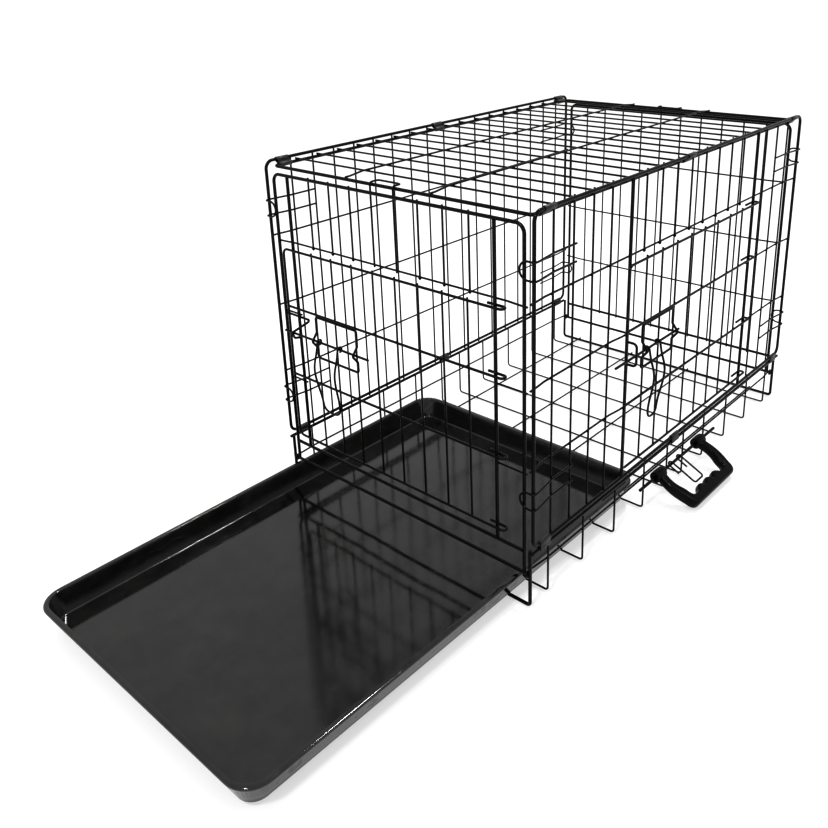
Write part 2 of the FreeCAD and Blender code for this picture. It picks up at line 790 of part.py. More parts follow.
def build_side_catch(width, bolt_height):
    """A staple on the latch post that the bolt passes through."""
    foot = (frame_wire - sink) / 2
    out = bolt_plane + door_wire + size("side_catch_room")
    rise = bolt_height + size("catch_rise")
    drop = bolt_height - size("catch_rise") / 2
    stops = [
        side_doorway(width, foot, rise),
        side_doorway(width, out, rise),
        side_doorway(width, out, drop),
        side_doorway(width, foot, drop),
    ]
    node("side_door_catch", [bent_wire("side_catch_wire", stops, door_wire, size("side_catch_bend"))])


def build_doors():
    front_width = size("front_hinge_post") + size("front_latch_post")
    build_door("front", front_doorway, front_width, end_bottom, end_rails[:-1], end_rails[-1])
    bolt = build_latch("front", front_doorway, front_width, end_rails[-2], leftward)
    build_front_catch(front_width, bolt)
    side_width = side_pitch * (size("doorway_rear_index") - size("doorway_front_index"))
    build_door("side", side_doorway, side_width, side_bottom, side_rails[:-1], side_rails[-1])
    bolt = build_latch("side", side_doorway, side_width, side_rails[-2], -rearward)
    build_side_catch(side_width, bolt)


# Tray


def rounded_outline(name, inset, height):
    """A rounded rectangle on the tray's plan, inset from its rim."""
    half_x = size("tray_length") / 2 - inset
    half_y = size("tray_width") / 2 - inset
    front = -size("tray_pull") - half_x
    rear = -size("tray_pull") + half_x
    right = size("tray_aside") - half_y
    left = size("tray_aside") + half_y
    spots = [(front, right), (rear, right), (rear, left), (front, left)]
    corners = [vector((*spot, height)) for spot in spots]
    radius = float(size("tray_corner") - inset)
    outline = doc.addObject("Part::Feature", name)
    outline.Shape = Part.Wire(rounded_edges(corners, [radius] * len(corners), closed=True))
    return outline


def loft(name, low, high):
    solid = doc.addObject("Part::Loft", name)
    solid.Sections = [low, high]
    solid.Solid = True
    solid.Ruled = True
    return solid


def build_tray():
    floor = frame_wire + mesh_wire - sink + size("run_gap")
    rim = floor + size("tray_depth")
    wall = size("tray_wall")
    lip = size("tray_lip")
    flare = size("tray_flare")
    lean = flare / size("tray_depth")
    outside = loft(
        "tray_outside",
        rounded_outline("tray_foot", lip + flare, floor),
        rounded_outline("tray_shoulder", lip, rim),
    )
    inside = loft(
        "tray_inside",
        rounded_outline("tray_floor_edge", lip + flare - lean * wall + wall, floor + wall),
        rounded_outline("tray_mouth", lip - lean * wall + wall, rim + wall),
    )
    rim_plate = loft(
        "tray_rim_plate",
        rounded_outline("tray_rim_low", 0, rim - wall),
        rounded_outline("tray_rim_high", 0, rim),
    )
    body = doc.addObject("Part::MultiFuse", "tray_body")
    body.Shapes = [outside, rim_plate]
    hollow = doc.addObject("Part::Cut", "tray_shell")
    hollow.Base = body
    hollow.Tool = inside
    node("tray", [hollow])


# Carry handle and fold clasp, drawn level and then turned down about their rod


def on_rod(along):
    turn = FreeCAD.Rotation(Vector(1, 0, 0), float(size("handle_droop_angle")))
    return FreeCAD.Placement(vector((along, -rod_distance, size("handle_rod_height"))), turn)


def collar_part(name, along, diameter, length, place):
    part = doc.addObject("Part::Cylinder", name)
    part.setExpression("Radius", text_of(diameter / 2))
    part.setExpression("Height", text_of(length))
    start = Vector(along - float(length / 2), 0, 0)
    part.Placement = place * FreeCAD.Placement(start, FreeCAD.Rotation(Vector(0, 0, 1), rearward))
    return part


def build_carry_handle():
    place = on_rod(size("handle_middle"))
    half_collars = float(size("handle_collars") / 2)
    half_arm = float(size("collar_length") / 2 - size("arm_inset"))
    reach = float(size("handle_reach"))
    inner = reach - float(size("grip_depth"))
    half_grip = float(size("grip_width") / 2)
    arm = half_arm * 2
    shoulder = float(size("collar_diameter") / 2)
    corner = float(size("arm_corner"))
    thickness = size("handle_thickness")
    low = float(-thickness / 2)
    outer_half = [
        (half_collars - half_arm, 0, corner),
        (half_collars + half_arm, 0, corner),
        (half_collars + half_arm, shoulder, shoulder),
        (half_grip, reach, arm),
    ]
    inner_half = [(half_grip - arm, inner, shoulder), (half_collars - half_arm, shoulder, shoulder)]
    rear_half = inner_half + outer_half
    front_half = [(-along, out, bend) for along, out, bend in rear_half[::-1]]
    ring = rear_half + front_half
    corners = [Vector(along, -out, low) for along, out, bend in ring]
    bends = [bend for along, out, bend in ring]
    outline = doc.addObject("Part::Feature", "handle_outline")
    outline.Shape = Part.Face(Part.Wire(rounded_edges(corners, bends, closed=True)))
    outline.Placement = place
    plate = doc.addObject("Part::Extrusion", "handle_plate")
    plate.Base = outline
    plate.DirMode = "Custom"
    plate.Dir = place.Rotation.multVec(Vector(0, 0, 1))
    plate.Solid = True
    plate.setExpression("LengthFwd", text_of(thickness))
    doc.recompute()
    rounded = doc.addObject("Part::Fillet", "handle_rounded")
    rounded.Base = plate
    round_radius = float(size("handle_round"))
    across = place.Rotation.multVec(Vector(0, 0, 1))
    flat_edges = []
    for number, edge in enumerate(plate.Shape.Edges, start=1):
        run = edge.valueAt(edge.LastParameter) - edge.valueAt(edge.FirstParameter)
        if abs(run.normalize().dot(across)) < 0.5:
            flat_edges.append((number, round_radius, round_radius))
    rounded.Edges = flat_edges
    collars = []
    for name, along in (("front", -half_collars), ("rear", half_collars)):
        diameter = size("collar_diameter")
        collars.append(collar_part(f"{name}_collar", along, diameter, size("collar_length"), place))
    body = doc.addObject("Part::MultiFuse", "handle_body")
    body.Shapes = [rounded] + collars
    bore_diameter = frame_wire + size("run_gap") * 2
    bore = collar_part("handle_bore", 0, bore_diameter, size("handle_rod_length"), place)
    cuts = [bore]
    grooves = count("finger_groove_count")
    for number in range(grooves):
        along = float(size("finger_pitch")) * (number - (grooves - 1) / 2)
        groove = doc.addObject("Part::Cylinder", f"finger_groove_{number + 1}")
        groove.setExpression("Radius", text_of(size("finger_radius")))
        groove.setExpression("Height", text_of(thickness * 2))
        centre = inner + float(size("finger_depth")) - float(size("finger_radius"))
        groove.Placement = place * FreeCAD.Placement(Vector(along, -centre, 2 * low), FreeCAD.Rotation())
        cuts.append(groove)
    tools = doc.addObject("Part::MultiFuse", "handle_cuts")
    tools.Shapes = cuts
    handle = doc.addObject("Part::Cut", "carry_handle_body")
    handle.Base = body
    handle.Tool = tools
    node("carry_handle", [handle])


def build_fold_clasp():
    place = on_rod(size("clasp_middle"))
    curl = float((frame_wire + mesh_wire) / 2 + size("run_gap"))
    reach = float(size("clasp_reach"))
    tail = float(size("clasp_tail"))

    def arm(along):
        local = [
            (along, -tail, -curl, curl),
            (along, curl, -curl, curl),
            (along, curl, curl, curl),
            (along, -reach, curl, curl),
        ]
        return [(*place.multVec(Vector(*spot[:3])), spot[3]) for spot in local]

    half = float(size("clasp_width") / 2)
    stops = arm(-half) + arm(half)[::-1]
    node("fold_clasp", [bent_wire("fold_clasp_wire", stops, mesh_wire, curl)])


build_base()
build_right_side()
build_left_side()
build_roof()
build_clips()
build_front_end()
build_rear_end()
build_doors()
build_tray()
build_carry_handle()
build_fold_clasp()
doc.recompute()

for item in doc.Objects:
    if "Invalid" in item.State or "Error" in item.State:
        raise RuntimeError(f"{item.Name} failed: {item.State}")
for group in nodes:
    if group.Shape.isNull() or not group.Shape.isValid() or not group.Shape.Solids:
        raise RuntimeError(f"{group.Label} has no valid solid")

os.makedirs("parts", exist_ok=True)
for group in nodes:
    group.Shape.exportStep(f"parts/{group.Label}.step")
    print(group.Label, len(group.Shape.Solids), round(group.Shape.Volume, 1))
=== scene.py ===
import math
from collections import namedtuple

import bmesh
import bpy
from mathutils import Matrix, Vector


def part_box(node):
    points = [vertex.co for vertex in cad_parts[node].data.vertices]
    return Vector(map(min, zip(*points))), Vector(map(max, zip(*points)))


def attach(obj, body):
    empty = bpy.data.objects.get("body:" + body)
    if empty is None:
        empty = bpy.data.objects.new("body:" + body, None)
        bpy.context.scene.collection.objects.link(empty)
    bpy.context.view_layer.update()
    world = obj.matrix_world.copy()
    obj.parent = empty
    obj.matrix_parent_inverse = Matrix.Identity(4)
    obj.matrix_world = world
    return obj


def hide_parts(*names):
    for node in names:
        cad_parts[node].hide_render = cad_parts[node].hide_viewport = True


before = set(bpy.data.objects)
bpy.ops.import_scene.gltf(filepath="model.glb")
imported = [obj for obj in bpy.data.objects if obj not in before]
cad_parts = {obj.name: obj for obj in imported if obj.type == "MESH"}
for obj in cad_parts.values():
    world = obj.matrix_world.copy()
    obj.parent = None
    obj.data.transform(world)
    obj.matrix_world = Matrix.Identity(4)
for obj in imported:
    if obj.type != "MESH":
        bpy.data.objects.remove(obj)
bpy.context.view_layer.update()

# Wires, weld beads and tips, in metres. A tip's width and bulge are shares of its wire's radius
THICK_WIRE = 0.0048
WIRE_TIP = 0.002
SAME_POINT = 1e-5
WELD_RADIUS = 0.0019
WELD_RISE = 0.0009
TIP_WIDTH = 0.985
TIP_BULGE = 0.45

# Tray, in metres
TRAY_WALL = 0.0018
TRAY_FLARE = 0.008
TRAY_CORNER = 0.034
LEAST_CORNER = 0.002
TRAY_LIP = 0.0055
LIP_BEAD = 0.005
TRAY_HEEL = 0.004
TRAY_EDGE = 0.0016
TRAY_FILLET = 0.003
FLOOR_RINGS = 22
FLOOR_MIDDLE = 0.004
FLOOR_FADE = 0.03
SLOW_SWELL = 0.00022
QUICK_SWELL = 0.00010

# Sleeve clips, in metres, and how far the sheet goes round a wire, in degrees
CLIP_SHEET = 0.0009
CLIP_GAP = 0.00015
CLIP_SEAM = 0.0006
CLIP_EDGE = 0.00025
CLIP_WAIST = 0.0021
CLIP_WRAP = 105
CLIP_STEP = 15

# Carry handle, in metres. Its grip starts at a share of its reach
ROD_HEIGHT = 0.042
ROD_SIDE = -0.239
HANDLE_MIDDLE = 0.008
HANDLE_DROOP = math.radians(26.5)
COLLAR_SPACING = 0.130
COLLAR_LENGTH = 0.024
COLLAR_DIAMETER = 0.018
COLLAR_BORE = 0.0054
COLLAR_EDGE = 0.0018
COLLAR_LEAD = 0.0005
COLLAR_CROWN = 0.0005
COLLAR_SIDES = 36
HANDLE_REACH = 0.072
GRIP_DEPTH = 0.0225
GRIP_WIDTH = 0.136
GRIP_START = 0.75
HANDLE_THICKNESS = 0.015
HANDLE_EDGE = 0.005
GROOVE_DEPTH = 0.0014
GROOVE_SLOPE = 0.0016
ARM_WIDTH = 0.015
ARM_BOW = 0.004
FINGER_BUMPS = 3
FINGER_PITCH = 0.023
FINGER_DEPTH = 0.007

# Pull loops of the bolts: wire, how far they bow out, and their foot's share of the width
PULL_WIRE = 0.0032
PULL_BOW = 0.010
PULL_FOOT = 0.75
# Down a leg: share of the drop, of the bow and of the half width
PULL_SHAPE = ((0.12, 0.25, 1.0), (0.32, 1.0, 1.0), (0.52, 0.8, 0.96), (0.8, 0.1, 0.87))

# Camera, as fitted to the photograph: its place, its angles and its picture, in pixels
PICTURE = 828
CAMERA_PLACE = Vector((-1.1472, -0.7992, 0.7904))
CAMERA_AZIMUTH = -47.76
CAMERA_ELEVATION = 19.23
CAMERA_ROLL = -1.81
FOCAL_PIXELS = 888.4
AXIS_PIXEL = (445, 275)
SENSOR_WIDTH = 36.0
CAMERA_RANGE = 100

# Light: a white sky, two lamps above, and a floor that gives some light of its own
SKY_STRENGTH = 1.08
LAMP_SIZE = 0.3
LAMP_POWER = 40
LAMP_TARGET = Vector((-0.2, 0.0, 0.2))
KEY_PLACE = Vector((-2.2, -0.6, 2.6))
TOP_PLACE = Vector((0.7, -0.2, 2.8))
FLOOR_HALF = 40.0
FLOOR_GLOW = 0.56
DISPLAY_GAMMA = 0.75
WHITE = (1.0, 1.0, 1.0, 1.0)


# Materials


class Shade:
    """A socket in a material's nodes. Arithmetic on it adds Math nodes."""

    def __init__(self, tree, socket=None):
        self.tree = tree
        self.socket = socket

    def node(self, kind, settings=None, sockets=None, output=0):
        """A new node, its settings made first, then its sockets set or linked."""
        made = self.tree.nodes.new(kind)
        for name, value in (settings or {}).items():
            if name == "stops":
                set_stops(made.color_ramp, value)
            else:
                setattr(made, name, value)
        for name, value in (sockets or {}).items():
            if isinstance(value, Shade):
                self.tree.links.new(value.socket, made.inputs[name])
            else:
                made.inputs[name].default_value = value
        return Shade(self.tree, made.outputs[output] if made.outputs else None)

    def maths(self, operation, first, second):
        return self.node("ShaderNodeMath", {"operation": operation}, {0: first, 1: second})

    def __add__(self, other):
        return self.maths("ADD", self, other)

    __radd__ = __add__

    def __mul__(self, other):
        return self.maths("MULTIPLY", self, other)

    __rmul__ = __mul__


def set_stops(ramp, stops):
    while len(ramp.elements) > len(stops):
        ramp.elements.remove(ramp.elements[-1])
    while len(ramp.elements) < len(stops):
        ramp.elements.new(1.0)
    for element, (position, colour) in zip(ramp.elements, stops):
        element.position = position
        element.color = (*colour, 1.0)


def grey(value, warmth=0.0):
    """A grey, with a little more red and less blue where it is warm."""
    return (value * (1 + warmth), value, value * (1 - warmth))


def finish(name, build, constants):
    """A material: build(places) gives the sockets that vary over it, constants the others."""
    material = bpy.data.materials.new(name)
    material.use_nodes = True
    tree = material.node_tree
    tree.nodes.clear()
    start = Shade(tree)
    places = start.node("ShaderNodeTexCoord", output="Object")
    surface = start.node("ShaderNodeBsdfPrincipled", None, {**constants, **build(places)})
    start.node("ShaderNodeOutputMaterial", None, {"Surface": surface})
    return material


def noise(places, size, detail=2.0, roughness=0.5):
    """Noise from 0 to 1 whose lumps are about the given size in metres."""
    sockets = {"Vector": places, "Scale": 1 / size, "Detail": detail, "Roughness": roughness}
    return places.node("ShaderNodeTexNoise", None, sockets)


def ramp(value, stops):
    return value.node("ShaderNodeValToRGB", {"stops": stops}, {"Fac": value})


def bump(height, depth):
    return height.node("ShaderNodeBump", None, {"Height": height, "Distance": depth, "Strength": 1.0})


def powder_coat():
    """Glossy black coat on wire: slightly uneven gloss over a fine orange peel."""

    def build(places):
        cloud = noise(places, 0.03)
        peel = noise(places, 0.0012)
        return {
            "Base Color": ramp(cloud, [(0.3, grey(0.002)), (0.7, grey(0.005, 0.04))]),
            "Roughness": 0.12 + 0.14 * cloud,
            "Normal": bump(peel, 0.00004),
        }

    return finish("powder_coat", build, {"Specular IOR Level": 0.13})


def clip_steel():
    """Satin black painted sheet with fine drawn scratches."""

    def build(places):
        stretch = places.node("ShaderNodeMapping", None, {"Vector": places, "Scale": (0.12, 1.0, 1.0)})
        scratch = noise(stretch, 0.0009, 4.0)
        cloud = noise(places, 0.012)
        return {
            "Base Color": ramp(cloud, [(0.3, grey(0.008, 0.05)), (0.75, grey(0.03, 0.12))]),
            "Roughness": 0.3 + 0.2 * scratch,
            "Normal": bump(scratch, 0.00005),
        }

    return finish("clip_steel", build, {"Specular IOR Level": 0.4})


def tray_plastic():
    """Gloss black sheet plastic: nearly a mirror, with faint scuffs and a little dust."""

    def build(places):
        cloud = noise(places, 0.11, 3.0)
        smear = noise(places, 0.022, 5.0, 0.62)
        grain = noise(places, 0.0016, 3.0)
        scuff = ramp(smear, [(0.56, grey(0.0)), (0.74, grey(1.0))])
        dust = cloud * 0.5 + smear * 0.5
        return {
            "Base Color": ramp(dust, [(0.4, grey(0.003)), (0.68, grey(0.014, 0.06))]),
            "Roughness": 0.05 + 0.05 * cloud + 0.10 * scuff,
            "Normal": bump(grain, 0.00003),
        }

    return finish("tray_plastic", build, {"IOR": 1.6})


def handle_plastic():
    """Black moulded plastic with a low gloss and a fine grain."""

    def build(places):
        cloud = noise(places, 0.02)
        grain = noise(places, 0.0007, 2.0)
        return {
            "Base Color": ramp(cloud, [(0.3, grey(0.002)), (0.7, grey(0.005))]),
            "Roughness": 0.08 + 0.1 * cloud,
            "Normal": bump(grain, 0.00002),
        }

    return finish("handle_plastic", build, {"Specular IOR Level": 0.12})


def floor_paint():
    """Pale matt studio floor that gives some light of its own."""

    def build(places):
        cloud = noise(places, 0.6)
        return {"Base Color": ramp(cloud, [(0.3, grey(0.44)), (0.7, grey(0.46))])}

    glow = {"Emission Color": WHITE, "Emission Strength": FLOOR_GLOW}
    return finish("floor_paint", build, {"Roughness": 0.9, "Specular IOR Level": 0.1, **glow})


wire_coat = powder_coat()
sleeve_steel = clip_steel()
tray_gloss = tray_plastic()
handle_black = handle_plastic()


# Mesh helpers


def add_piece(name, points, faces, material, body):
    """A smooth piece of the object that rides on a body."""
    mesh = bpy.data.meshes.new(name)
    mesh.from_pydata(points, [], faces)
    mesh.materials.append(material)
    for face in mesh.polygons:
        face.use_smooth = True
    piece = bpy.data.objects.new(name, mesh)
    bpy.context.scene.collection.objects.link(piece)
    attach(piece, body)
    return piece


def bridge(faces, first, second, count):
    """Quads between two rings of points, given by the index of each ring's first point."""
    for step in range(count):
        after = (step + 1) % count
        faces.append((first + step, first + after, second + after, second + step))


def skin(faces, rings):
    """A closed skin over equal rings of points: quads between them and a face on each end."""
    count = rings[1] - rings[0]
    for first, second in zip(rings, rings[1:]):
        bridge(faces, first, second, count)
    faces.append(tuple(range(rings[0] + count - 1, rings[0] - 1, -1)))
    faces.append(tuple(range(rings[-1], rings[-1] + count)))


def arc(centre, radius, start, end, steps):
    """Points of an arc in a section, angles in degrees."""
    found = []
    for step in range(steps + 1):
        angle = math.radians(start + (end - start) * step / steps)
        found.append((centre[0] + radius * math.cos(angle), centre[1] + radius * math.sin(angle)))
    return found


# Tray: rings of a rounded rectangle, from under its floor over the rim and down to the floor


def tray_ring(low, high, inset, height, corner_steps=8, side_steps=12):
    """A rounded rectangle, set in from the tray's box and at a height over its underside."""
    half_x = (high.x - low.x) / 2 - inset
    half_y = (high.y - low.y) / 2 - inset
    centre = (low + high) / 2
    radius = min(max(TRAY_CORNER - inset, LEAST_CORNER), half_x, half_y)
    arcs = []
    for across, along, start in ((1, 1, 0), (1, -1, 90), (-1, -1, 180), (-1, 1, 270)):
        spot = (along * (half_x - radius), across * (half_y - radius))
        arcs.append(arc(spot, radius, start, start + 90, corner_steps))
    points = []
    for number, corner in enumerate(arcs):
        following = arcs[(number + 1) % len(arcs)][0]
        points += corner
        last = corner[-1]
        for step in range(1, side_steps):
            share = step / side_steps
            points.append(tuple(a + (b - a) * share for a, b in zip(last, following)))
    return [Vector((centre.x + x, centre.y + y, low.z + height)) for x, y in points]


def tray_profile(depth):
    """Pairs of inset and height: the outer wall, the beaded lip, the inner wall and its fillet."""
    lean = TRAY_FLARE / depth
    foot = TRAY_LIP + TRAY_FLARE
    bead = LIP_BEAD / 2
    bead_middle = depth - bead
    outer_top = foot - lean * (depth - LIP_BEAD)
    inner = foot + TRAY_WALL * math.hypot(1, lean)
    tilt = math.degrees(math.atan(lean))
    profile = arc((foot + TRAY_HEEL * (1 - lean), TRAY_HEEL), TRAY_HEEL, 270, 180 + tilt, 4)
    profile += [(outer_top, depth - LIP_BEAD)]
    profile += arc((bead, bead_middle), bead, 270, 90, 8)
    profile += arc((inner - lean * depth - TRAY_EDGE, depth - TRAY_EDGE), TRAY_EDGE, 90, tilt, 4)
    fillet = inner - lean * TRAY_WALL + TRAY_FILLET * (1 / math.cos(math.atan(lean)) - lean)
    profile += arc((fillet, TRAY_WALL + TRAY_FILLET), TRAY_FILLET, 180 + tilt, 270, 10)
    return profile


def floor_wave(point):
    """The slight unevenness of a large thin floor, from waves in radians to the metre."""
    slow = math.sin(point.x * 31 + 1.3) * math.sin(point.y * 27 + 0.4)
    quick = math.sin(point.x * 58 + point.y * 21) * math.sin(point.y * 63 - point.x * 17)
    return SLOW_SWELL * slow + QUICK_SWELL * quick


def make_tray():
    low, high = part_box("tray")
    depth = high.z - low.z
    profile = tray_profile(depth)
    last_inset = profile[-1][0]
    furthest = (high.y - low.y) / 2 - FLOOR_MIDDLE
    for step in range(1, FLOOR_RINGS + 1):
        profile.append((last_inset + (furthest - last_inset) * step / FLOOR_RINGS, TRAY_WALL))
    points = []
    faces = []
    rings = []
    for inset, height in profile:
        rings.append(len(points))
        ring = tray_ring(low, high, inset, height)
        if inset > last_inset:
            fade = min(1.0, (inset - last_inset) / FLOOR_FADE)
            for point in ring:
                point.z += floor_wave(point) * fade
        points += ring
    skin(faces, rings)
    piece = add_piece("tray_shell", points, faces, tray_gloss, "tray_body")
    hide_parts("tray")


make_tray()


# Carry handle: a moulded bow between two collars, drawn level and turned down about its rod


def bow_edges():
    """Inner and outer edge of the bow from collar to collar, point for point, as along and outward."""
    half_collars = COLLAR_SPACING / 2
    half_arm = ARM_WIDTH / 2
    shoulder = COLLAR_DIAMETER / 2
    start = shoulder / 2
    inner_reach = HANDLE_REACH - GRIP_DEPTH
    outer = [(half_collars + half_arm, start), (half_collars + half_arm, shoulder)]
    outer.append((GRIP_WIDTH / 2, HANDLE_REACH))
    inner = [(half_collars - half_arm, start), (half_collars - half_arm, shoulder)]
    inner.append((GRIP_WIDTH / 2 - ARM_WIDTH, inner_reach))
    outer_half = rounded_path(outer, ARM_WIDTH)
    inner_half = rounded_path(inner, shoulder)
    return [mirrored(half) for half in (inner_half, outer_half)]


def rounded_path(stops, bend, arm_steps=10, bend_steps=10, grip_steps=24):
    """From a collar up the bowed arm, round the corner and along the grip to its middle."""
    foot, knee, corner = [Vector(stop) for stop in stops]
    into = (knee - corner).normalized()
    out = Vector((-1, 0))
    turn = math.pi - into.angle(out)
    reach = bend * math.tan(turn / 2)
    begin = corner + into * reach
    end = corner + out * reach
    path = [foot]
    for step in range(arm_steps):
        share = step / arm_steps
        bow = ARM_BOW * math.sin(math.pi * share)
        path.append(knee.lerp(begin, share) + Vector((bow, 0)))
    for step in range(bend_steps):
        share = step / bend_steps
        path.append(begin.lerp(corner, share).lerp(corner.lerp(end, share), share))
    middle = Vector((0, corner.y))
    for step in range(grip_steps + 1):
        path.append(end.lerp(middle, step / grip_steps))
    return path


def mirrored(half):
    """A half path and its mirror image, sharing the middle point."""
    return half + [Vector((-point.x, point.y)) for point in half[-2::-1]]


def finger_wave(along):
    """How far the grip's inner edge draws back between and beside the finger bumps."""
    if abs(along) > FINGER_PITCH * FINGER_BUMPS / 2:
        return FINGER_DEPTH
    return FINGER_DEPTH * (1 - abs(math.cos(math.pi * along / FINGER_PITCH)))


def bow_section(half_width, groove):
    """Rounded bar section with a shallow channel along both faces, as across and through."""
    flat = HANDLE_THICKNESS / 2 - HANDLE_EDGE
    side = half_width - HANDLE_EDGE
    top = HANDLE_THICKNESS / 2
    floor = side - GROOVE_SLOPE
    section = arc((side, flat), HANDLE_EDGE, 0, 90, 5)
    section += [(floor, top - groove), (-floor, top - groove)]
    section += arc((-side, flat), HANDLE_EDGE, 90, 180, 5)
    section += arc((-side, -flat), HANDLE_EDGE, 180, 270, 5)
    section += [(-floor, groove - top), (floor, groove - top)]
    section += arc((side, -flat), HANDLE_EDGE, 270, 360, 5)
    return section


def make_bow(points, faces):
    """The two arms and the grip, whose channel fades out where the grip starts."""
    inner_edge, outer_edge = bow_edges()
    rings = []
    for inner, outer in zip(inner_edge, outer_edge):
        grip_share = max(0.0, min(1.0, (outer.y / HANDLE_REACH - GRIP_START) / (1 - GRIP_START)))
        drawn = inner + Vector((0, finger_wave(inner.x) * grip_share))
        centre = (drawn + outer) / 2
        across = (outer - drawn).normalized()
        section = bow_section((outer - drawn).length / 2, GROOVE_DEPTH * (1 - grip_share))
        rings.append(len(points))
        for wide, through in section:
            spot = centre + across * wide
            points.append(Vector((spot.x, -spot.y, through)))
    skin(faces, rings)


def make_collar(points, faces, along):
    """A bored collar with a slight crown, turned about the rod's axis."""
    half = COLLAR_LENGTH / 2
    outside = COLLAR_DIAMETER / 2
    bore = COLLAR_BORE / 2
    rim = half - COLLAR_EDGE
    round_off = outside - COLLAR_EDGE
    mouth = bore + COLLAR_LEAD
    throat = half - COLLAR_LEAD
    profile = [(-half, mouth), *arc((-rim, round_off), COLLAR_EDGE, 180, 90, 4)]
    profile += [(0, outside + COLLAR_CROWN), *arc((rim, round_off), COLLAR_EDGE, 90, 0, 4)]
    profile += [(half, mouth), (throat, bore), (-throat, bore)]
    first = len(points)
    for step in range(COLLAR_SIDES):
        angle = math.tau * step / COLLAR_SIDES
        for run, radius in profile:
            points.append(Vector((along + run, radius * math.cos(angle), radius * math.sin(angle))))
    count = len(profile)
    for step in range(COLLAR_SIDES):
        bridge(faces, first + step * count, first + (step + 1) % COLLAR_SIDES * count, count)


def make_handle():
    points = []
    faces = []
    make_bow(points, faces)
    for along in (-COLLAR_SPACING / 2, COLLAR_SPACING / 2):
        make_collar(points, faces, along)
    rod = Matrix.Translation((HANDLE_MIDDLE, ROD_SIDE, ROD_HEIGHT))
    place = rod @ Matrix.Rotation(HANDLE_DROOP, 4, "X")
    placed = [place @ point for point in points]
    piece = add_piece("carry_handle_bow", placed, faces, handle_black, "carry_handle_body")
    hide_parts("carry_handle")


make_handle()


# Wires of a node


def wires(node_name):
    """The box round each separate wire, as its lowest and highest corner."""
    work = bmesh.new()
    work.from_mesh(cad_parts[node_name].data)
    bmesh.ops.remove_doubles(work, verts=work.verts, dist=SAME_POINT)
    left = set(work.verts)
    boxes = []
    while left:
        queue = [left.pop()]
        group = []
        while queue:
            point = queue.pop()
            group.append(point.co.copy())
            for edge in point.link_edges:
                other = edge.other_vert(point)
                if other in left:
                    left.remove(other)
                    queue.append(other)
        low = Vector(min(spot[axis] for spot in group) for axis in range(3))
        high = Vector(max(spot[axis] for spot in group) for axis in range(3))
        boxes.append((low, high))
    work.free()
    return sorted(boxes, key=lambda box: tuple(round(value, 5) for value in box[0]))


# Sleeve clips: a strip of sheet wrapped round two wires, creased between them, with its seam inside


def clip_line(box):
    """The strip's middle line across its two wires, as sideways and up, from seam to seam."""
    low, high = box
    outside = THICK_WIRE / 2 + CLIP_GAP + CLIP_SHEET
    left_side = low.y + high.y > 0
    outer = high.y - outside if left_side else low.y + outside
    inner = low.y + outside if left_side else high.y - outside
    top = Vector((outer, high.z - outside))
    bottom = Vector((inner, low.z + outside))
    down = (bottom - top).normalized()
    inward = Vector((-down.y, down.x))
    if (inward.x < 0) != left_side:
        inward.negate()
    radius = outside - CLIP_SHEET / 2
    middle = (top + bottom) / 2
    line = [middle + inward * CLIP_WAIST + down * CLIP_SEAM / 2]
    for angle in range(CLIP_WRAP, -CLIP_WRAP - 1, -CLIP_STEP):
        turn = math.radians(angle)
        line.append(bottom + (down * math.cos(turn) + inward * math.sin(turn)) * radius)
    line.append(middle - inward * CLIP_WAIST)
    for angle in range(-CLIP_WRAP, CLIP_WRAP + 1, CLIP_STEP):
        turn = math.radians(angle)
        line.append(top + (inward * math.sin(turn) - down * math.cos(turn)) * radius)
    line.append(middle + inward * CLIP_WAIST - down * CLIP_SEAM / 2)
    return line


def strip_outline(line, half_sheet):
    """Both faces of a strip of sheet along its middle line, as one loop."""
    faces = ([], [])
    for number, point in enumerate(line):
        before = line[max(number - 1, 0)]
        after = line[min(number + 1, len(line) - 1)]
        run = (after - before).normalized()
        square = Vector((-run.y, run.x))
        faces[0].append(point + square * half_sheet)
        faces[1].append(point - square * half_sheet)
    return faces[0] + faces[1][::-1]


def make_clips(node_name):
    points = []
    faces = []
    full = CLIP_SHEET / 2
    thin = full - CLIP_EDGE
    for low, high in wires(node_name):
        line = clip_line((low, high))
        stations = [(low.x, thin), (low.x + CLIP_EDGE, full), (high.x - CLIP_EDGE, full), (high.x, thin)]
        rings = []
        for along, half_sheet in stations:
            rings.append(len(points))
            points += [Vector((along, spot.x, spot.y)) for spot in strip_outline(line, half_sheet)]
        count = rings[1] - rings[0]
        for first, second in zip(rings, rings[1:]):
            bridge(faces, first, second, count)
        for step in range(len(line) - 1):
            cap = (step, step + 1, count - 2 - step, count - 1 - step)
            faces.append(tuple(rings[0] + corner for corner in cap))
            faces.append(tuple(rings[-1] + corner for corner in cap[::-1]))
    name = node_name.replace("clips", "sleeves")
    piece = add_piece(name, points, faces, sleeve_steel, "crate")
    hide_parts(node_name)


for clip_node in ("roof_right_clips", "roof_left_clips", "base_right_clips", "base_left_clips"):
    make_clips(clip_node)


# Weld beads where wires cross, and rounded tips on their ends


def add_bead(points, faces, centre, radii, sides=8, rings=3):
    """A small closed bead with its own radius along each axis."""
    first = len(points)
    for ring in range(1, rings + 1):
        polar = math.pi * ring / (rings + 1)
        for step in range(sides):
            turn = math.tau * step / sides
            reach = math.sin(polar)
            spot = (reach * math.cos(turn), reach * math.sin(turn), math.cos(polar))
            points.append(centre + Vector(a * b for a, b in zip(spot, radii)))
    for ring in range(rings - 1):
        bridge(faces, first + (ring + 1) * sides, first + ring * sides, sides)
    top = len(points)
    points.append(centre + Vector((0, 0, radii[2])))
    points.append(centre - Vector((0, 0, radii[2])))
    last = first + (rings - 1) * sides
    for step in range(sides):
        after = (step + 1) % sides
        faces.append((first + step, first + after, top))
        faces.append((last + after, last + step, top + 1))


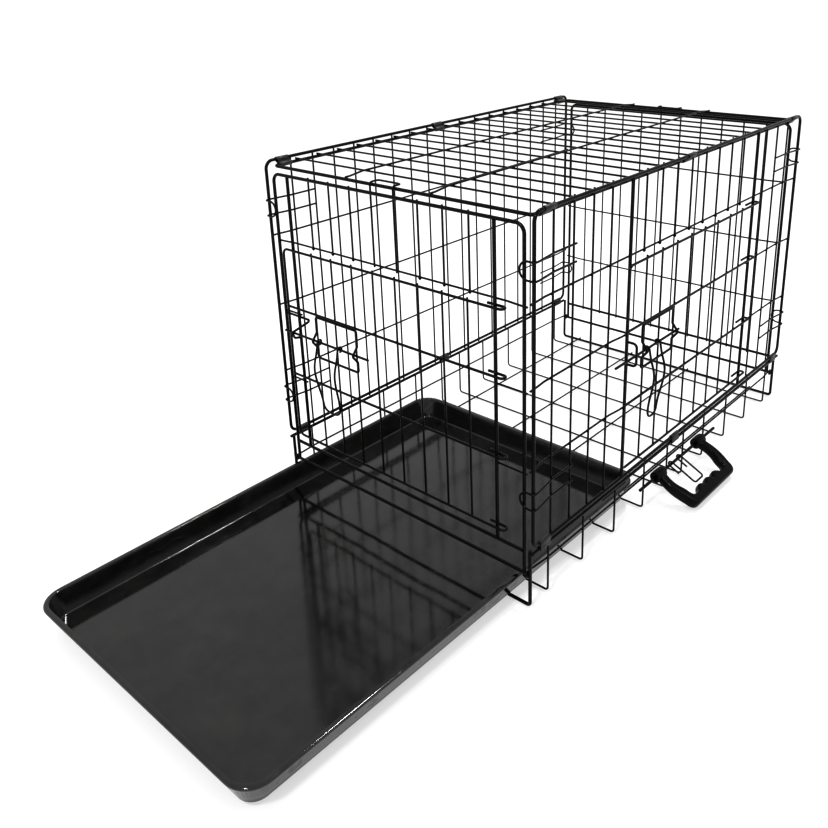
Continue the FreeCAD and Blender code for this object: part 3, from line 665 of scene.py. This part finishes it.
def longest_axis(box):
    spans = box[1] - box[0]
    return max(range(3), key=lambda axis: spans[axis])


def face_of(box, axis, side):
    return box[1][axis] if side > 0 else box[0][axis]


def end_spots(box, axis, side, tip):
    """Where a wire lies on the frame near its two ends."""
    along = longest_axis(box)
    spots = []
    for place in (box[0][along] + tip, box[1][along] - tip):
        spot = (box[0] + box[1]) / 2
        spot[along] = place
        spot[axis] = face_of(box, axis, side)
        spots.append(spot)
    return spots


def crossing_spots(first, second, axis, side):
    """Where the wires in one list lie on those of another."""
    spots = []
    for box in first:
        along = longest_axis(box)
        for other in second:
            across = longest_axis(other)
            spot = Vector()
            spot[along] = (other[0][along] + other[1][along]) / 2
            spot[across] = (box[0][across] + box[1][across]) / 2
            spot[axis] = face_of(box, axis, side)
            inside = box[0][along] < spot[along] < box[1][along]
            if inside and other[0][across] < spot[across] < other[1][across]:
                spots.append(spot)
    return spots


# Wires on a frame, wires across them, the axis through the panel, the side of the frame, the side of
# the crossing wires, whether those end on the frame too, and the body
Welded = namedtuple("Welded", "wires across axis frame_side cross_side across_ends body")
WELDED = [
    Welded("right_side_uprights", "right_side_rails", 1, -1, 1, True, "crate"),
    Welded("left_side_uprights", "left_side_rails", 1, 1, -1, True, "crate"),
    Welded("roof_cross_wires", "roof_long_wires", 2, -1, 1, True, "crate"),
    Welded("base_floor_wires", "base_cross_wires", 2, -1, -1, False, "crate"),
    Welded("front_uprights", "front_rails", 0, -1, 1, True, "front_panel"),
    Welded("rear_uprights", "rear_rails", 0, 1, -1, True, "rear_panel"),
    Welded("front_door_uprights", "front_door_rails", 0, -1, -1, False, "front_door"),
    Welded("side_door_uprights", "side_door_rails", 1, -1, -1, False, "side_door"),
]
# Other wires with rounded ends, and their body
ROUNDED_ENDS = [
    ("handle_rod", "crate"),
    ("base_hinge_rails", "crate"),
    ("front_bolt", "front_bolt_body"),
    ("side_bolt", "side_bolt_body"),
]


def make_welds():
    shapes = {}
    for row in WELDED:
        points, faces = shapes.setdefault(row.body, ([], []))
        first = wires(row.wires)
        second = wires(row.across)
        spots = crossing_spots(first, second, row.axis, row.cross_side)
        for box in first + (second if row.across_ends else []):
            spots += end_spots(box, row.axis, row.frame_side, WIRE_TIP)
        radii = [WELD_RADIUS, WELD_RADIUS, WELD_RADIUS]
        radii[row.axis] = WELD_RISE
        for spot in spots:
            add_bead(points, faces, spot, radii)
    for body, (points, faces) in shapes.items():
        add_piece(f"{body}_welds", points, faces, wire_coat, body)


def make_tips():
    shapes = {}
    rows = [(row.wires, row.body, row.axis, row.frame_side) for row in WELDED]
    rows += [(row.across, row.body, row.axis, row.frame_side) for row in WELDED if row.across_ends]
    rows += [(name, body, 2, -1) for name, body in ROUNDED_ENDS]
    for name, body, axis, side in rows:
        points, faces = shapes.setdefault(body, ([], []))
        for box in wires(name):
            along = longest_axis(box)
            half_wire = min(box[1] - box[0]) / 2
            radius = half_wire * TIP_WIDTH
            radii = [radius, radius, radius]
            radii[along] = radius * TIP_BULGE
            for spot in end_spots(box, axis, side, 0.0):
                spot[axis] -= side * half_wire
                add_bead(points, faces, spot, radii, sides=14, rings=5)
    for body, (points, faces) in shapes.items():
        add_piece(f"{body}_tips", points, faces, wire_coat, body)


make_welds()
make_tips()


# Pull loops of the bolts


def pull_leg(half, curl, drop):
    """A leg as along, out and up from the bolt's axis: round the bolt, out in a bow and in again."""
    leg = [(half, 0, -curl), (half, -curl, -curl), (half, -curl, curl), (half, curl, curl)]
    for down, bow, share in PULL_SHAPE:
        leg.append((half * share, curl + PULL_BOW * bow, -drop * down))
    leg.append((half * PULL_FOOT, curl, -drop))
    return leg


def make_pull(door, along, out):
    """One bent wire in the place of a door's pull: along its bolt, and out from the door."""
    node_name = f"{door}_bolt_pull"
    low, high = (Vector(corner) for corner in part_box(node_name))
    middle = (low + high) / 2
    spread = high - low
    radius = PULL_WIRE / 2
    curl = abs(spread.dot(out)) / 2 - radius
    half = abs(spread.dot(along)) / 2 - radius
    axis_height = high.z - radius - curl
    leg = pull_leg(half, curl, axis_height - low.z - radius)
    spots = leg + [(-across, outward, up) for across, outward, up in reversed(leg)]
    line = bpy.data.curves.new(f"{door}_pull_line", "CURVE")
    line.dimensions = "3D"
    line.bevel_depth = radius
    line.bevel_resolution = 4
    line.use_fill_caps = True
    spline = line.splines.new("NURBS")
    spline.points.add(len(spots) - 1)
    for point, (across, outward, up) in zip(spline.points, spots):
        place = middle + along * across + out * outward
        point.co = (place.x, place.y, axis_height + up, 1)
    spline.order_u = 3
    spline.use_endpoint_u = True
    bent = bpy.data.objects.new(f"{door}_pull_line", line)
    mesh = bpy.data.meshes.new_from_object(bent)
    points = [corner.co.copy() for corner in mesh.vertices]
    faces = [tuple(face.vertices) for face in mesh.polygons]
    bpy.data.objects.remove(bent)
    piece = add_piece(f"{door}_pull_loop", points, faces, wire_coat, f"{door}_pull_body")
    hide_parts(node_name)


make_pull("front", Vector((0, 1, 0)), Vector((-1, 0, 0)))
make_pull("side", Vector((1, 0, 0)), Vector((0, -1, 0)))


# Finish of the wires that are shown as they are
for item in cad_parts.values():
    item.data.materials.clear()
    item.data.materials.append(wire_coat)


# Floor, light and camera


def make_floor():
    mesh = bpy.data.meshes.new("studio_floor")
    signs = ((-1, -1), (1, -1), (1, 1), (-1, 1))
    corners = [(FLOOR_HALF * x, FLOOR_HALF * y, 0) for x, y in signs]
    mesh.from_pydata(corners, [], [(0, 1, 2, 3)])
    mesh.materials.append(floor_paint())
    floor = bpy.data.objects.new("studio_floor", mesh)
    bpy.context.scene.collection.objects.link(floor)


def soft_box(name, place):
    data = bpy.data.lights.new(name, "AREA")
    data.shape = "SQUARE"
    data.size = LAMP_SIZE
    data.energy = LAMP_POWER
    lamp = bpy.data.objects.new(name, data)
    lamp.location = place
    lamp.rotation_euler = (LAMP_TARGET - place).to_track_quat("-Z", "Y").to_euler()
    bpy.context.scene.collection.objects.link(lamp)


def make_light():
    world = bpy.data.worlds.new("studio")
    world.use_nodes = True
    background = world.node_tree.nodes["Background"]
    background.inputs["Color"].default_value = WHITE
    background.inputs["Strength"].default_value = SKY_STRENGTH
    bpy.context.scene.world = world
    soft_box("key_light", KEY_PLACE)
    soft_box("top_light", TOP_PLACE)
    bpy.context.scene.view_settings.view_transform = "Standard"
    bpy.context.scene.view_settings.gamma = DISPLAY_GAMMA


def make_camera():
    data = bpy.data.cameras.new("camera")
    data.sensor_width = SENSOR_WIDTH
    data.lens = SENSOR_WIDTH * FOCAL_PIXELS / PICTURE
    data.shift_x = (PICTURE / 2 - AXIS_PIXEL[0]) / PICTURE
    data.shift_y = (AXIS_PIXEL[1] - PICTURE / 2) / PICTURE
    data.clip_end = CAMERA_RANGE
    turn = Matrix.Rotation(math.radians(CAMERA_AZIMUTH), 4, "Z")
    tilt = Matrix.Rotation(math.radians(90 - CAMERA_ELEVATION), 4, "X")
    roll = Matrix.Rotation(math.radians(CAMERA_ROLL), 4, "Z")
    camera = bpy.data.objects.new("camera", data)
    camera.matrix_world = Matrix.Translation(CAMERA_PLACE) @ turn @ tilt @ roll
    bpy.context.scene.collection.objects.link(camera)
    bpy.context.scene.camera = camera


make_floor()
make_light()
make_camera()
